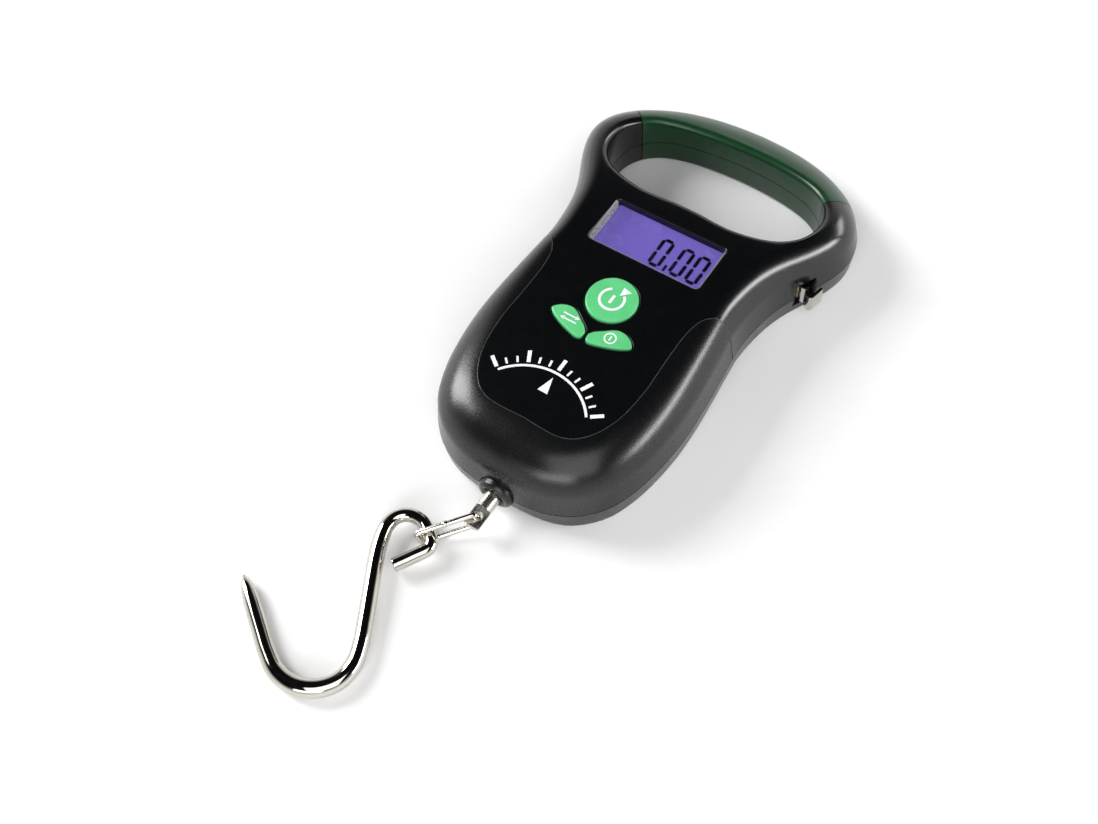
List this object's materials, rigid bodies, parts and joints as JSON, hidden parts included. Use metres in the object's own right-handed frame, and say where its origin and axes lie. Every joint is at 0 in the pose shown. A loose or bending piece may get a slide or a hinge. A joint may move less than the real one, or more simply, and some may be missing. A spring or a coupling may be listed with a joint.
{
  "type": "digital fish scale",
  "caption": "Hand-held hanging scale with a grip slot, lit display, three buttons, retracting tape and a swivel stem carrying a link and S-hook.",
  "frame": {"origin": "on the flat resting face of the rear cover, straight behind the centre of the round zero button", "axes": "+X to the right as the display is read, +Y from the hook end towards the handle, +Z out of the front face"},
  "size_m": [0.0885, 0.2144, 0.0262],
  "materials": {
    "black_gloss": "smooth glossy black moulding",
    "black_textured": "fine-grained matte black",
    "black_satin": "satin black",
    "grip_green": "satin dark green",
    "window_clear": "clear",
    "display_violet": "lit liquid crystal panel",
    "backlight_white": "diffusing",
    "button_mint": "satin light green",
    "bright_nickel": "polished nickel plate",
    "plain_steel": "zinc plated",
    "contact_brass": "plated",
    "board_green": "solder mask",
    "chip_black": "moulded",
    "silicone_grey": "silicone",
    "strip_pink": "silicone with contact layers",
    "beam_alloy": "machined",
    "gauge_foil": "foil on film",
    "ribbon_amber": "film",
    "cell_wrap": "printed sleeve",
    "reel_white": "moulded",
    "tape_cream": "coated glass cloth"
  },
  "bodies": {
    "housing": {"front_cover": "black_gloss", "lower_shroud": "black_textured", "rear_cover": "black_satin", "grip_front": "grip_green", "grip_rear": "grip_green", "handle_core": "plain_steel", "display_window": "window_clear", "display_glass": "display_violet", "display_frame": "black_satin", "backlight": "backlight_white", "contact_strip": "strip_pink", "circuit_board": "board_green", "main_chip": "chip_black", "keypad_mat": "silicone_grey", "board_screw_1": "plain_steel", "board_screw_2": "plain_steel", "load_cell": "beam_alloy", "strain_gauge_outer": "gauge_foil", "strain_gauge_inner": "gauge_foil", "load_yoke": "plain_steel", "anchor_bracket": "plain_steel", "yoke_screw_1": "plain_steel", "yoke_screw_2": "plain_steel", "anchor_screw_1": "plain_steel", "anchor_screw_2": "plain_steel", "floor_screw_1": "plain_steel", "floor_screw_2": "plain_steel", "stem_bush": "black_satin", "cell_left": "cell_wrap", "cell_right": "cell_wrap", "contact_bridge": "contact_brass", "contact_plus": "contact_brass", "contact_spring": "plain_steel", "reel_axle": "plain_steel", "tape_pin": "plain_steel", "tape_guide": "black_satin", "tape_blade": "tape_cream", "gauge_ribbon": "ribbon_amber", "case_screw_1": "plain_steel", "case_screw_2": "plain_steel", "case_screw_3": "plain_steel", "case_screw_4": "plain_steel"},
    "swivel": {"stem": "bright_nickel", "thrust_washer": "plain_steel", "stem_nut": "plain_steel"},
    "link": {"chain_link": "bright_nickel"},
    "hook": {"s_hook": "bright_nickel"},
    "zero_key": {"zero_button": "button_mint"},
    "unit_key": {"unit_button": "button_mint"},
    "power_key": {"power_button": "button_mint"},
    "door": {"battery_door": "black_satin"},
    "reel": {"tape_reel": "reel_white", "tape_coil": "tape_cream", "reel_spring": "plain_steel"},
    "tape_end": {"tape_end_tab": "bright_nickel"}
  },
  "joints": [
    {"name": "stem_swivel", "type": "hinge", "parent": "housing", "child": "swivel", "pos_m": [0, -0.055, 0.008], "axis": [0, 1, 0], "continuous": true},
    {"name": "link_pivot", "type": "hinge", "parent": "swivel", "child": "link", "pos_m": [0, -0.0657, 0.0067], "axis": [0, 0, 1], "range_deg": [-35, 119]},
    {"name": "hook_pivot", "type": "hinge", "parent": "link", "child": "hook", "pos_m": [-0.00925, -0.0756, 0.0044], "axis": [-0.8107, 0.5855, 0], "range_deg": [-60, 75]},
    {"name": "zero_press", "type": "slide", "parent": "housing", "child": "zero_key", "axis": [0, 0, -1], "range_m": [0, 0.0006], "stiffness_N_per_m": 300},
    {"name": "unit_press", "type": "slide", "parent": "housing", "child": "unit_key", "axis": [0, 0, -1], "range_m": [0, 0.0006], "stiffness_N_per_m": 300},
    {"name": "power_press", "type": "slide", "parent": "housing", "child": "power_key", "axis": [0, 0, -1], "range_m": [0, 0.0006], "stiffness_N_per_m": 300},
    {"name": "door_lift", "type": "slide", "parent": "housing", "child": "door", "axis": [0, 0, -1], "range_m": [0, 0.03]},
    {"name": "tape_pull", "type": "slide", "parent": "housing", "child": "tape_end", "axis": [1, 0, 0], "range_m": [0, 1], "stiffness_N_per_m": 1, "springref_m": -1, "deforming": ["tape_blade"]},
    {"name": "reel_spin", "type": "hinge", "parent": "housing", "child": "reel", "pos_m": [0.0158, 0.023, 0.0079], "axis": [0, 0, 1], "range_deg": [-5500, 0]}
  ],
  "couplings": [
    {"joint": "reel_spin", "follows": "tape_pull", "rad_per_m": -95.238}
  ]
}
